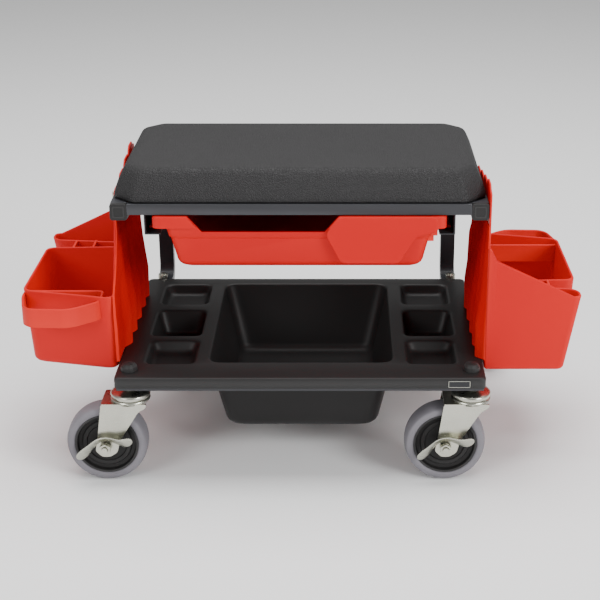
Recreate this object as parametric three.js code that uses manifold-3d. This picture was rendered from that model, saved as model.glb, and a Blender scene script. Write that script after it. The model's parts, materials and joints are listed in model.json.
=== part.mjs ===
// A mechanic's rolling utility seat with storage: a padded seat on two C-shaped legs, a
// sliding drawer under it, a moulded parts deck below, a tool bin on each side and four
// swivel castors, two of them with a foot brake.
// Millimetres, +Z up. X runs across the seat, the drawer opens towards -Y, the floor is Z = 0.
// The pieces are drawn about the middle of the deck, and the whole is then moved along Y.

import * as THREE from 'three';
import Module from 'manifold-3d';
import { mergeVertices } from 'three/addons/utils/BufferGeometryUtils.js';

const wasm = await Module();
wasm.setup();

// ---------------------------------------------------------------- driving dimensions
const GAP = 0.3;                    // clearance left between pieces that touch

const DECK_HALF = { x: 225, y: 170 };
const DECK_TOP = 144;
const DECK_SHEET = 2.5;
const DECK_LIP = 13.5;              // depth of the turned-down lip
const LIP_WALL = 2;

const WELL_TOP = { x: 114, front: -121, back: 147 };
const WELL_BASE = { x: 93, front: -106, back: 132 };
const WELL_FLOOR = 49.5;
const MOULD_WALL = 2.5;

const POCKETS = [
  { front: 71, back: 145, inner: 132, outer: 197, depth: 14 },
  { front: -38, back: 49, inner: 131, outer: 196, depth: 32 },
  { front: -126, back: -55, inner: 131, outer: 193, depth: 14 },
];

const FRAME_BASE = 126.2;            // underside of the steel base members
const FRONT_MEMBER = { front: -167.5, back: -129, halfX: 222.5 };
const REAR_MEMBER = { front: 151.5, back: 167.5 };
const MEMBER_WALL = 2.2;

const LEG = { x: 202.5, width: 20, depth: 15, wall: 1.5, bend: 24 };
const LEG_POST_Y = 207.5;           // centre line of the upright
const LEG_UPPER = { z: 316.9, front: -40 };
const LEG_LOWER_FRONT = 151.5;

const SEAT_TUBE = { x: 216.2, size: 20, wall: 1.5, z: 335.2, front: -106, back: 130 };
const SEAT_BAR = { bottom: 331.7, depth: 20, front: -113, back: 137 };
const CAP = { size: 20.6, head: 6.6, plug: 12 };

const PAD = { x: 225, front: -111, back: 135, bottom: 346, top: 385, chamfer: 24, draft: 16 };
const PAD_CROWN = 5;                // height of the softened top edge
const BOARD = { x: 200, front: -104, back: 127, bottom: 345.7, thick: 5.6, room: 0.4 };

const RAIL = { web: 187.3, foot: 168, flange: 191.9, bottom: 304, top: 331.4, sheet: 2 };
const RAIL_Y = { front: -104, back: 136.5 };

const DRAWER_TOP = { x: 163, front: -114, back: 108, z: 330.8 };
const DRAWER_BASE = { x: 147, front: -105, back: 100, z: 262.3 };
const DRAWER_RIM = { x: 176.3, front: -118, back: 112, skirt: 14.5, sheet: 2.4 };
const DRAWER_WALL = 2.2;
const DRAWER_DIP = { left: -134.7, leftFoot: -117.6, rightFoot: 30.1, right: 47.2, z: 310.4, depth: 16 };
const RUNNER = { inner: 156.5, outer: 183.6, front: -98, back: 104, bottom: 306.4, thick: 2.8 };
const PLAQUE = { outline: [[34, 304], [49, 272], [120, 272], [136, 304]], corner: 6,
  front: -116.6, back: -104 };

const BIN_PANEL = { inner: 226.6, thick: 3, front: -114, top: 366, topDrop: 20 };
const BIN_RIM = 230;
const BIN_BASE = 130;
const BIN_WALL = 2.5;
const BIN_OUTER = 343;
const BIN_RIB_LINES = [-111, -66, -25, 18, 60];
const BIN_SCREWS = [-42, 42];
// Plan outlines at the rim: Y at the panel and at the outer wall, then the mould draft.
const BIG_TUB = { front: [-66, -61], back: [125, 97], middle: 20, draft: { x: 0.95, y: 0.93 } };
const SMALL_TUB = { front: -120, back: [-79, -100], bevel: { x: 334, y: -90 }, middle: -99,
  draft: { x: 0.85, y: 0.84 } };
const TUB_CORNER = 9;
const TOOL_LOOP = { top: BIN_RIM - 5, rise: 24, start: 84 };
const STRUT = { lines: [282, 308], half: 1.5, front: -91, back: -62, depth: 7 };
const SCREW_HOLE = 3.2;

const CASTOR_FRONT = { x: 209, y: -145 };
const CASTOR_REAR = { x: 206, y: 178 };
const BOLT = 4;                     // M8 shank radius
const BOLT_HOLE = 4.4;
const THREAD_GAP = 0.15;            // nut bore over the shank
const KING_BORE = 5.6;              // hole in the fork for the king bolt
const RACE_BORE = 4.7;
const HEX = 7.5;                    // M8 nut and head, radius over the corners
const NUT_HEIGHT = 6;

const WHEEL = { radius: 50, width: 32, trail: 31 };
const HUB_RADIUS = 39.2;
const HUB_HALF = 14.4;              // half the width of the hub's rim
const HUB_BOSS = { bore: 4.6, radius: 11, half: 17 };
const RACE_RADIUS = 24.3;
const KING_HEAD = 98.8;             // underside of the king bolt's head
const FORK = { crown: 104.6, sheet: 2.8, innerY: 19, plate: 2.5 };
const PEDAL = { span: 37, tilt: 10, depth: 15, sheet: 2 };
const ROUND = 24;                   // facets round a wheel
const CORNER_STEPS = 2;             // straight pieces in a rounded corner

// ---------------------------------------------------------------- materials
const paint = (color, roughness, metalness = 0) =>
  new THREE.MeshStandardMaterial({ color, roughness, metalness });
const blackPad = () => paint(0x26272a, 0.75);
const plywood = () => paint(0x9c7a4e, 0.8);
const blackSteel = () => paint(0x2b2b30, 0.45, 0.3);
const blackPlastic = () => paint(0x242325, 0.55);
const redPlastic = () => paint(0xd8321f, 0.4);
const zinc = () => paint(0xc9c8b8, 0.3, 0.9);
const greyRubber = () => paint(0x86848c, 0.7);

// ---------------------------------------------------------------- solids and booleans
function solid(geometry) {
  const bare = geometry.clone();
  bare.deleteAttribute('normal');
  bare.deleteAttribute('uv');
  const merged = mergeVertices(bare, 1e-4);
  return new wasm.Manifold(new wasm.Mesh({
    numProp: 3,
    vertProperties: new Float32Array(merged.attributes.position.array),
    triVerts: new Uint32Array(merged.index.array),
  }));
}

function geometryOf(manifold) {
  const mesh = manifold.getMesh();
  const geometry = new THREE.BufferGeometry();
  geometry.setAttribute('position', new THREE.BufferAttribute(new Float32Array(mesh.vertProperties), 3));
  geometry.setIndex(new THREE.BufferAttribute(new Uint32Array(mesh.triVerts), 1));
  geometry.computeVertexNormals();
  return geometry;
}

function box(x0, x1, y0, y1, z0, z1) {
  const geometry = new THREE.BoxGeometry(x1 - x0, y1 - y0, z1 - z0);
  return solid(geometry.translate((x0 + x1) / 2, (y0 + y1) / 2, (z0 + z1) / 2));
}

// A cylinder or hexagon standing on Z between two heights.
function post(x, y, z0, z1, radius, sides = 12) {
  const geometry = new THREE.CylinderGeometry(radius, radius, z1 - z0, sides);
  return solid(geometry.rotateX(Math.PI / 2).translate(x, y, (z0 + z1) / 2));
}

// The same lying along Y.
function rodY(x, z, y0, y1, radius, sides = 12) {
  return solid(new THREE.CylinderGeometry(radius, radius, y1 - y0, sides).translate(x, (y0 + y1) / 2, z));
}

// The same lying along X.
function rodX(y, z, x0, x1, radius, sides = 10) {
  const geometry = new THREE.CylinderGeometry(radius, radius, x1 - x0, sides);
  return solid(geometry.rotateZ(Math.PI / 2).translate((x0 + x1) / 2, y, z));
}

// A closed outline with its corners rounded.
function outline(points, radius = 0) {
  const shape = new THREE.Shape();
  const at = (i) => new THREE.Vector2(...points[(i + points.length) % points.length]);
  points.forEach((_, i) => {
    const here = at(i);
    const back = at(i - 1).sub(here);
    const ahead = at(i + 1).sub(here);
    const reach = Math.min(radius, back.length() * 0.45, ahead.length() * 0.45);
    const enter = here.clone().add(back.setLength(reach));
    const leave = here.clone().add(ahead.setLength(reach));
    if (i === 0) shape.moveTo(enter.x, enter.y);
    else shape.lineTo(enter.x, enter.y);
    if (radius > 0) shape.quadraticCurveTo(here.x, here.y, leave.x, leave.y);
  });
  shape.closePath();
  return shape;
}

const rectangle = (x0, x1, y0, y1) => [[x0, y0], [x1, y0], [x1, y1], [x0, y1]];

// An outline in plan, extruded up from z0 to z1.
function plan(points, radius, z0, z1) {
  const settings = { depth: z1 - z0, bevelEnabled: false, curveSegments: CORNER_STEPS };
  return solid(new THREE.ExtrudeGeometry(outline(points, radius), settings).translate(0, 0, z0));
}

// An outline drawn in X and Z, extruded along Y from y0 to y1.
function frontal(points, radius, y0, y1) {
  const settings = { depth: y1 - y0, bevelEnabled: false, curveSegments: CORNER_STEPS };
  const geometry = new THREE.ExtrudeGeometry(outline(points, radius), settings);
  return solid(geometry.rotateX(Math.PI / 2).translate(0, y1, 0));
}

// An outline drawn in Y and Z, extruded along X from x0 to x1.
function lateral(points, x0, x1) {
  const settings = { depth: x1 - x0, bevelEnabled: false };
  const geometry = new THREE.ExtrudeGeometry(outline(points), settings);
  return solid(geometry.rotateX(Math.PI / 2).rotateZ(Math.PI / 2).translate(x0, 0, 0));
}

// A tub with draft: the plan outline is `top` at zTop and is squeezed into `base` at zBase.
function tapered(top, base, zTop, zBase, radius) {
  const settings = { depth: 1, bevelEnabled: false, curveSegments: CORNER_STEPS };
  const geometry = new THREE.ExtrudeGeometry(outline(rectangle(...top), radius), settings);
  const spot = geometry.attributes.position;
  const squeeze = (value, a, b) => b[0] + (value - a[0]) / (a[1] - a[0]) * (b[1] - b[0]);
  for (let i = 0; i < spot.count; i += 1) {
    const low = spot.getZ(i) < 0.5;
    const x = low ? squeeze(spot.getX(i), top.slice(0, 2), base.slice(0, 2)) : spot.getX(i);
    const y = low ? squeeze(spot.getY(i), top.slice(2), base.slice(2)) : spot.getY(i);
    spot.setXYZ(i, x, y, low ? zBase : zTop);
  }
  return solid(geometry);
}

const grow = (extents, by) => extents.map((value, i) => value + (i % 2 ? by : -by));

// The same tub with its bottom edge rounded off over `edge`.
function tub(top, base, zTop, zBase, radius, edge) {
  const share = edge / (zTop - zBase);
  const knee = base.map((value, i) => value + (top[i] - value) * share);
  const upper = tapered(top, knee, zTop, zBase + edge, radius);
  const lower = tapered(knee, grow(base, -edge * 0.7), zBase + edge, zBase, radius);
  return upper.add(lower);
}

// A ring turned about Z; the profile holds [radius, height] pairs and closes on itself.
function turned(profile, sides = 18) {
  const points = [...profile, profile[0]].map(([r, z]) => new THREE.Vector2(r, z));
  return solid(new THREE.LatheGeometry(points, sides).rotateX(Math.PI / 2));
}

const union = (pieces) => pieces.reduce((whole, piece) => whole.add(piece));
const cut = (whole, pieces) => pieces.reduce((left, piece) => left.subtract(piece), whole);

// ---------------------------------------------------------------- placing pieces
const seat = new THREE.Group();

function place(name, manifold, material, parent = seat) {
  const mesh = new THREE.Mesh(geometryOf(manifold), material);
  mesh.name = name;
  parent.add(mesh);
  return mesh;
}

const SIDES = [['left', -1], ['right', 1]];

// The X limits of something on one side, given its inner and outer distance from the middle.
const limits = (side, inner, outer) => (side < 0 ? [-outer, -inner] : [inner, outer]);

// Negates X and turns the triangles over, so that they still face out.
function mirrorInPlace(geometry) {
  geometry.scale(-1, 1, 1);
  const corners = geometry.index;
  for (let i = 0; i < corners.count; i += 3) {
    const second = corners.getX(i + 1);
    corners.setX(i + 1, corners.getX(i + 2));
    corners.setX(i + 2, second);
  }
  geometry.computeVertexNormals();
}

// A piece drawn for the right side, or its mirror image on the left.
function placeHanded(name, side, manifold, material) {
  const mesh = place(name, manifold, material);
  if (side < 0) mirrorInPlace(mesh.geometry);
  return mesh;
}

// ---------------------------------------------------------------- seat
function seatPad() {
  const { x, front, back, chamfer, draft, bottom, top } = PAD;
  const ring = (inset) => {
    const corner = chamfer - inset * 0.2;
    const [w, f, b] = [x - inset, front + inset * 0.9, back - inset * 0.9];
    return [[-w + corner, f], [w - corner, f], [w, f + corner], [w, b - corner],
      [w - corner, b], [-w + corner, b], [-w, b - corner], [-w, f + corner]];
  };
  const layer = (low, high, z0, z1) => {
    const settings = { depth: z1 - z0, bevelEnabled: false, curveSegments: 3 };
    const lower = outline(ring(low), 10).getPoints(3);
    const upper = outline(ring(high), 10).getPoints(3);
    const geometry = new THREE.ExtrudeGeometry(new THREE.Shape(lower), settings);
    const spot = geometry.attributes.position;
    for (let i = 0; i < spot.count; i += 1) {
      if (spot.getZ(i) > 0) {
        const from = lower.findIndex((p) => Math.hypot(p.x - spot.getX(i), p.y - spot.getY(i)) < 1e-3);
        spot.setXY(i, upper[from].x, upper[from].y);
      }
    }
    return solid(geometry.translate(0, 0, z0));
  };
  const shoulder = top - PAD_CROWN;
  const sides = layer(0, draft - 3, bottom, shoulder);
  const crown = layer(draft - 3, draft + 2, shoulder, top);
  const recess = box(-BOARD.x - BOARD.room, BOARD.x + BOARD.room, BOARD.front - BOARD.room,
    BOARD.back + BOARD.room, bottom - 1, BOARD.bottom + BOARD.thick + GAP);
  return sides.add(crown).subtract(recess);
}

function seatTube() {
  const half = SEAT_TUBE.size / 2;
  const bore = half - SEAT_TUBE.wall;
  const { x, z, front, back } = SEAT_TUBE;
  const tube = box(x - half, x + half, front, back, z - half, z + half)
    .subtract(box(x - bore, x + bore, front - 1, back + 1, z - bore, z + bore));
  return cut(tube, BIN_SCREWS.map((y) => rodX(y, z, x + bore - 1, x + half + 1, SCREW_HOLE)));
}

function seatBar(y0, y1) {
  const end = SEAT_TUBE.x - SEAT_TUBE.size / 2 - GAP;
  const top = SEAT_TUBE.z + SEAT_TUBE.size / 2;
  const wall = SEAT_TUBE.wall;
  return box(-end, end, y0, y1, SEAT_BAR.bottom, top)
    .subtract(box(-end - 1, end + 1, y0 + wall, y1 - wall, SEAT_BAR.bottom + wall, top - wall));
}

// Square end cap whose plug enters the tube; the head lies on the -Y side of the mouth.
function endCap() {
  const half = CAP.size / 2;
  const plug = SEAT_TUBE.size / 2 - SEAT_TUBE.wall - GAP;
  const head = frontal(rectangle(-half, half, -half, half), 3, -CAP.head, -GAP);
  return head.add(box(-plug, plug, -GAP - 0.5, CAP.plug, -plug, plug));
}

function buildSeat() {
  place('seat_pad', seatPad(), blackPad());
  place('seat_board', box(-BOARD.x, BOARD.x, BOARD.front, BOARD.back,
    BOARD.bottom, BOARD.bottom + BOARD.thick), plywood());
  place('seat_front_bar', seatBar(SEAT_BAR.front, SEAT_BAR.front + SEAT_BAR.depth), blackSteel());
  place('seat_rear_bar', seatBar(SEAT_BAR.back - SEAT_BAR.depth, SEAT_BAR.back), blackSteel());
  SIDES.forEach(([name, side]) => {
    placeHanded(`seat_side_tube_${name}`, side, seatTube(), blackSteel());
    const front = place(`end_cap_front_${name}`, endCap(), blackPlastic());
    front.position.set(side * SEAT_TUBE.x, SEAT_TUBE.front, SEAT_TUBE.z);
    const rear = place(`end_cap_rear_${name}`, endCap(), blackPlastic());
    rear.position.set(side * SEAT_TUBE.x, SEAT_TUBE.back, SEAT_TUBE.z);
    rear.rotation.z = Math.PI;
  });
}

// ---------------------------------------------------------------- legs and base frame
// Side view of the C-shaped leg, offset inwards by `wall`.
function legOutline(wall, past) {
  const half = LEG.depth / 2 - wall;
  const outer = LEG_POST_Y + half;
  const inner = LEG_POST_Y - half;
  const top = LEG_UPPER.z;
  const bottom = FRAME_BASE + LEG.depth / 2;
  const shape = new THREE.Shape();
  const big = LEG.bend + half;
  const small = LEG.bend - half;
  shape.moveTo(LEG_UPPER.front - past, top + half);
  shape.absarc(outer - big, top + half - big, big, Math.PI / 2, 0, true);
  shape.absarc(outer - big, bottom - half + big, big, 0, -Math.PI / 2, true);
  shape.lineTo(LEG_LOWER_FRONT - past, bottom - half);
  shape.lineTo(LEG_LOWER_FRONT - past, bottom + half);
  shape.absarc(inner - small, bottom + half + small, small, -Math.PI / 2, 0, false);
  shape.absarc(inner - small, top - half - small, small, 0, Math.PI / 2, false);
  shape.lineTo(LEG_UPPER.front - past, top - half);
  shape.closePath();
  return shape;
}

function leg() {
  const sweep = (wall, past) => {
    const settings = { depth: LEG.width - wall * 2, bevelEnabled: false, curveSegments: 4 };
    const geometry = new THREE.ExtrudeGeometry(legOutline(wall, past), settings);
    geometry.rotateX(Math.PI / 2).rotateZ(Math.PI / 2);
    return solid(geometry.translate(LEG.x - LEG.width / 2 + wall, 0, 0));
  };
  const bolt = post(CASTOR_REAR.x, CASTOR_REAR.y, FRAME_BASE - 5, FRAME_BASE + 25, BOLT_HOLE);
  return sweep(0, 0).subtract(sweep(LEG.wall, 1)).subtract(bolt);
}

function baseMember(x0, x1, y0, y1) {
  const top = DECK_TOP - DECK_SHEET - GAP;
  const w = MEMBER_WALL;
  return box(x0, x1, y0, y1, FRAME_BASE, top)
    .subtract(box(x0 - 1, x1 + 1, y0 + w, y1 - w, FRAME_BASE + w, top - w));
}

function frontMember() {
  const { halfX, front, back } = FRONT_MEMBER;
  const bolts = SIDES.map(([, side]) =>
    post(side * CASTOR_FRONT.x, CASTOR_FRONT.y, FRAME_BASE - 5, DECK_TOP, BOLT_HOLE));
  return cut(baseMember(-halfX, halfX, front, back), bolts);
}

function drawerRail() {
  const { web, foot, flange, bottom, top, sheet } = RAIL;
  const points = [[foot, bottom], [web, bottom], [web, top - sheet], [flange, top - sheet],
    [flange, top], [web - sheet, top], [web - sheet, bottom + sheet], [foot, bottom + sheet]];
  return frontal(points, 0, RAIL_Y.front, RAIL_Y.back);
}

function buildFrame() {
  const inside = LEG.x - LEG.width / 2 - GAP;
  place('base_front_member', frontMember(), blackSteel());
  place('base_rear_member', baseMember(-inside, inside, REAR_MEMBER.front, REAR_MEMBER.back), blackSteel());
  SIDES.forEach(([name, side]) => {
    placeHanded(`leg_${name}`, side, leg(), blackSteel());
    placeHanded(`drawer_rail_${name}`, side, drawerRail(), blackSteel());
  });
}

// ---------------------------------------------------------------- deck
function wellTub(inset, lift) {
  const top = grow([-WELL_TOP.x, WELL_TOP.x, WELL_TOP.front, WELL_TOP.back], inset);
  const base = grow([-WELL_BASE.x, WELL_BASE.x, WELL_BASE.front, WELL_BASE.back], inset);
  return tub(top, base, DECK_TOP + lift, WELL_FLOOR - inset, 14 + inset, 9);
}

function pocketTub(pocket, side, inset, lift) {
  const [a, b] = limits(side, pocket.inner, pocket.outer);
  const top = grow([a, b, pocket.front, pocket.back], inset);
  const base = grow([a, b, pocket.front, pocket.back], inset - 4 - pocket.depth * 0.12);
  return tapered(top, base, DECK_TOP + lift, DECK_TOP - pocket.depth - inset, 9 + inset);
}

function deckTray() {
  const { x, y } = DECK_HALF;
  const under = DECK_TOP - DECK_SHEET;
  const lipEnd = DECK_TOP - DECK_LIP;
  const sheet = plan(rectangle(-x, x, -y, y), 5, lipEnd, DECK_TOP)
    .subtract(box(-x + LIP_WALL, x - LIP_WALL, -y + LIP_WALL, y - LIP_WALL, lipEnd - 1, under));
  const pairs = SIDES.flatMap(([, side]) => POCKETS.map((pocket) => [pocket, side]));
  const shells = pairs.map(([pocket, side]) => pocketTub(pocket, side, MOULD_WALL, -0.5));
  const hollows = pairs.map(([pocket, side]) => pocketTub(pocket, side, 0, 0.5));
  const whole = union([sheet, wellTub(MOULD_WALL, -0.5), ...shells]);
  const notches = SIDES.map(([, side]) => {
    const half = LEG.width / 2 + GAP;
    return box(side * LEG.x - half, side * LEG.x + half, y - LIP_WALL - 1, y + 1, lipEnd - 1,
      FRAME_BASE + LEG.depth + GAP);
  });
  const bolts = SIDES.map(([, side]) =>
    post(side * CASTOR_FRONT.x, CASTOR_FRONT.y, under - 1, DECK_TOP + 1, BOLT_HOLE));
  return cut(whole, [wellTub(0, 0.5), ...hollows, ...notches, ...bolts]);
}

// Domed cover over a front castor nut.
function nutCover() {
  const outer = [[10.5, 0], [9.9, 5], [7, 8.6], [0, 9.8]];
  const inner = [[0, 8.8], [6.4, 7.7], [8.7, 4.6], [9.3, 0]];
  const points = [...outer, ...inner, outer[0]].map(([r, z]) => new THREE.Vector2(r, z));
  return solid(new THREE.LatheGeometry(points, 18).rotateX(Math.PI / 2));
}

function buildDeck() {
  place('deck_tray', deckTray(), blackPlastic());
  SIDES.forEach(([name, side]) => {
    const cover = place(`nut_cover_${name}`, nutCover(), blackPlastic());
    cover.position.set(side * CASTOR_FRONT.x, CASTOR_FRONT.y, DECK_TOP + GAP);
  });
}

// ---------------------------------------------------------------- drawer
function drawerTub(inset, lift) {
  const t = DRAWER_TOP;
  const b = DRAWER_BASE;
  return tub(grow([-t.x, t.x, t.front, t.back], -inset), grow([-b.x, b.x, b.front, b.back], -inset),
    t.z + lift, b.z + inset, 16 - inset, 12);
}

function drawer() {
  const { x, front, back, skirt, sheet } = DRAWER_RIM;
  const top = DRAWER_TOP.z;
  const under = box(-x + sheet, x - sheet, front + sheet, back + 1, top - skirt - 1, top - sheet);
  const rim = plan(rectangle(-x, x, front, back), 7, top - skirt, top).subtract(under);
  const runners = SIDES.map(([, side]) => box(...limits(side, RUNNER.inner, RUNNER.outer),
    RUNNER.front, RUNNER.back, RUNNER.bottom, RUNNER.bottom + RUNNER.thick));
  const plaque = frontal(PLAQUE.outline, PLAQUE.corner, PLAQUE.front, PLAQUE.back);
  const whole = union([drawerTub(0, 0), rim, ...runners, plaque]);
  const dip = DRAWER_DIP;
  const mouth = frontal([[dip.left - 8, top + 10], [dip.left, top], [dip.leftFoot, dip.z],
    [dip.rightFoot, dip.z], [dip.right, top], [dip.right + 8, top + 10]], 5, front - 1, front + dip.depth);
  return cut(whole, [drawerTub(DRAWER_WALL, 1), mouth]);
}

// ---------------------------------------------------------------- side bins
// The bin is drawn on the +X side with its small compartment towards -Y.
function bigTub(inset, lift) {
  const { front, back, middle, draft } = BIG_TUB;
  const [inner, outer] = [BIN_PANEL.inner + inset, BIN_OUTER - inset];
  const top = [[inner, front[0] + inset], [outer, front[1] + inset], [outer, back[1] - inset],
    [inner, back[0] - inset]];
  return drafted(top, { x: inner, y: middle }, draft, lift, inset);
}

function smallTub(inset, lift) {
  const { front, back, bevel, middle, draft } = SMALL_TUB;
  const [inner, outer] = [BIN_PANEL.inner + inset, BIN_OUTER - inset];
  const top = [[inner, front + inset], [outer, front + inset], [outer, back[1] - inset * 0.6],
    [bevel.x - inset, bevel.y - inset], [inner, back[0] - inset]];
  return drafted(top, { x: inner, y: middle }, draft, lift, inset);
}

// Plan outline at the rim, scaled about `centre` at the floor to give the mould draft.
function drafted(points, centre, scale, lift, inset) {
  const settings = { depth: 1, bevelEnabled: false, curveSegments: CORNER_STEPS };
  const geometry = new THREE.ExtrudeGeometry(outline(points, TUB_CORNER - inset), settings);
  const spot = geometry.attributes.position;
  const floor = BIN_BASE + inset;
  for (let i = 0; i < spot.count; i += 1) {
    const low = spot.getZ(i) < 0.5;
    const x = low ? centre.x + (spot.getX(i) - centre.x) * scale.x : spot.getX(i);
    const y = low ? centre.y + (spot.getY(i) - centre.y) * scale.y : spot.getY(i);
    spot.setXYZ(i, x, y, low ? floor : BIN_RIM + lift);
  }
  return solid(geometry);
}

// Back panel beside the seat tube, with a stepped, scalloped top edge.
function binPanel() {
  const last = BIN_RIB_LINES.length - 1;
  const crest = BIN_RIB_LINES.slice(0, last).flatMap((y, i) => {
    const next = BIN_RIB_LINES[i + 1];
    const z = BIN_PANEL.top - BIN_PANEL.topDrop * i / (last - 1);
    return [[y + 2, z - 5], [y + 9, z], [next - 9, z], [next - 2, z - 5]];
  });
  const points = [[BIN_PANEL.front, BIN_BASE + 8], [BIN_PANEL.front, BIN_PANEL.top - 8], ...crest,
    [66, 336], [69, 309], [84, 272], [110, BIN_RIM], [110, 160], [104, BIN_BASE + 8]];
  return lateral(points, BIN_PANEL.inner, BIN_PANEL.inner + BIN_PANEL.thick);
}

// Stiffening rib on the frame side of the panel; its foot stands on the deck edge.
function binRib(y) {
  const foot = DECK_TOP + GAP;
  const root = BIN_PANEL.inner + 1;
  const profile = [[root, foot], [216, foot], [215, 187], [220, 232], [223, 285], [root, 322]];
  return frontal(profile, 0, y - 2, y + 2);
}

// Tool loop: a band standing off the end wall of the big compartment.
function toolLoop() {
  const { top, rise, start } = TOOL_LOOP;
  const band = (inset) => outline([[BIN_OUTER - inset, start], [BIN_OUTER - inset, 104],
    [335 - inset, 138 - inset], [325, 148 - inset], [282, 150 - inset], [270, 145 - inset],
    [243 + inset, 122 - inset], [243 + inset, start]], 5);
  const extrude = (inset, z0, z1) => solid(new THREE.ExtrudeGeometry(band(inset),
    { depth: z1 - z0, bevelEnabled: false, curveSegments: CORNER_STEPS }).translate(0, 0, z0));
  return extrude(0, top - rise, top).subtract(extrude(BIN_WALL, top - rise - 1, top + 1));
}

// End wall of the small compartment, rising towards the panel.
function risingWall() {
  const points = [[BIN_PANEL.inner, BIN_RIM - 8], [336, BIN_RIM - 8], [330, BIN_RIM], [286, 251],
    [238, 275], [230, 291], [BIN_PANEL.inner, 291]];
  return frontal(points, 0, SMALL_TUB.front, SMALL_TUB.front + BIN_WALL);
}

function sideBin() {
  const struts = STRUT.lines.map((x) => box(x - STRUT.half, x + STRUT.half, STRUT.front, STRUT.back,
    BIN_RIM - STRUT.depth, BIN_RIM));
  const ribs = BIN_RIB_LINES.map(binRib);
  const loop = toolLoop().subtract(bigTub(1, 5));
  const whole = union([bigTub(0, 0), smallTub(0, 0), binPanel(), risingWall(), loop, ...struts, ...ribs]);
  const screwHoles = BIN_SCREWS.map((y) => rodX(y, SEAT_TUBE.z, 224, 232, SCREW_HOLE));
  const hollows = [bigTub(BIN_WALL, 3), smallTub(BIN_WALL, 3)];
  return cut(whole, [...hollows, ...screwHoles]);
}

function binScrew() {
  const outside = BIN_PANEL.inner + BIN_PANEL.thick + GAP;
  const inside = SEAT_TUBE.x + SEAT_TUBE.size / 2 - SEAT_TUBE.wall - 5;
  return rodX(0, 0, inside, outside + 1, SCREW_HOLE - 0.4).add(rodX(0, 0, outside, outside + 3, 5.5));
}

// Both bins are one moulding, so the left one is the right one turned half round.
function buildBins() {
  SIDES.forEach(([name, side]) => {
    const turn = side < 0 ? Math.PI : 0;
    const bin = place(`side_bin_${name}`, sideBin(), redPlastic());
    bin.rotation.z = turn;
    BIN_SCREWS.forEach((y, i) => {
      const screw = placeHanded(`bin_screw_${name}_${i + 1}`, side, binScrew(), zinc());
      screw.position.set(0, y, SEAT_TUBE.z);
    });
  });
}

// ---------------------------------------------------------------- castors
// Each castor is drawn about its own swivel axis with the wheel trailing towards -X.
function topRace(top) {
  return turned([[RACE_BORE, 110.8], [22, 110.8], [RACE_RADIUS, 112], [RACE_RADIUS, 116], [20, 118],
    [9, 118.5], [9, top], [RACE_BORE, top]]);
}

function fork() {
  const crownTop = FORK.crown + FORK.sheet;
  const dish = turned([[KING_BORE, FORK.crown], [22.5, FORK.crown], [RACE_RADIUS, 107.4], [22.5, 110.4],
    [KING_BORE, 110.4]]);
  const outerY = FORK.innerY + FORK.plate;
  const crown = plan([[-34, -outerY], [2, -outerY], [16, -16], [16, 16], [2, outerY], [-34, outerY]], 3,
    FORK.crown, crownTop);
  const cheek = [[-34, crownTop], [22, crownTop], [20, 102], [11, 96.5], [-13, 58], [-17, 42],
    [-26, 36], [-36, 36], [-44, 44], [-41, 58]];
  const cheeks = [-outerY, FORK.innerY].map((y) => frontal(cheek, 3, y, y + FORK.plate));
  const bore = post(0, 0, FORK.crown - 2, 112, KING_BORE, 18);
  const axle = rodY(-WHEEL.trail, WHEEL.radius, -30, 30, BOLT_HOLE);
  return cut(union([dish, crown, ...cheeks]), [bore, axle]);
}

function kingBolt(tip) {
  return post(0, 0, KING_HEAD, tip, BOLT).add(post(0, 0, KING_HEAD, FORK.crown - GAP, HEX, 6));
}

function hexNut() {
  return post(0, 0, 0, NUT_HEIGHT, HEX, 6).subtract(post(0, 0, -1, NUT_HEIGHT + 1, BOLT + THREAD_GAP));
}

function wheelPart(profile) {
  const points = [...profile, profile[0]].map(([r, y]) => new THREE.Vector2(r, y));
  return solid(new THREE.LatheGeometry(points, ROUND));
}

function hub() {
  const { bore, radius, half } = HUB_BOSS;
  return wheelPart([[bore, -half], [radius, -half], [24, -9], [36.5, -HUB_HALF], [HUB_RADIUS, -HUB_HALF],
    [HUB_RADIUS, HUB_HALF], [36.5, HUB_HALF], [24, 9], [radius, half], [bore, half]]);
}

function tyre() {
  const r = WHEEL.radius;
  const half = WHEEL.width / 2;
  const bore = HUB_RADIUS + GAP;
  return wheelPart([[bore, -HUB_HALF], [41.5, -half], [r - 3, -half + 1.5], [r, -half + 7],
    [r, half - 7], [r - 3, half - 1.5], [41.5, half], [bore, HUB_HALF]]);
}

function axleBolt() {
  const outside = FORK.innerY + FORK.plate + GAP;
  return rodY(0, 0, -outside - 12, outside + 1, BOLT).add(rodY(0, 0, outside, outside + 5.3, HEX, 6));
}

function axleNut() {
  const start = -(FORK.innerY + FORK.plate + 3.4);
  return rodY(0, 0, start - NUT_HEIGHT, start, HEX, 6)
    .subtract(rodY(0, 0, start - NUT_HEIGHT - 1, start + 1, BOLT + THREAD_GAP));
}

// Two-winged foot brake hung on the axle bolt; the wings stand out as ledges.
function brakePedal() {
  const { span, depth, sheet } = PEDAL;
  const back = -(FORK.innerY + FORK.plate + GAP);
  const upper = [[-span, -4], [-27, 2.5], [-16, 8], [-8, 11.5], [8, 11.5], [16, 8], [27, 4], [span, 6]];
  const lower = [...upper].reverse().map(([x, z]) => [x, z - sheet]);
  const wings = frontal([...upper, ...lower], 0, back - depth, back);
  const yoke = frontal([[-17, 7.4], [-9, 10.5], [9, 10.5], [17, 7.4], [9, -5], [3, -7], [-3, -7],
    [-9, -5]], 0, back - 2.6, back);
  return wings.add(yoke).subtract(rodY(0, 0, back - 4, back + 1, BOLT_HOLE));
}

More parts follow.
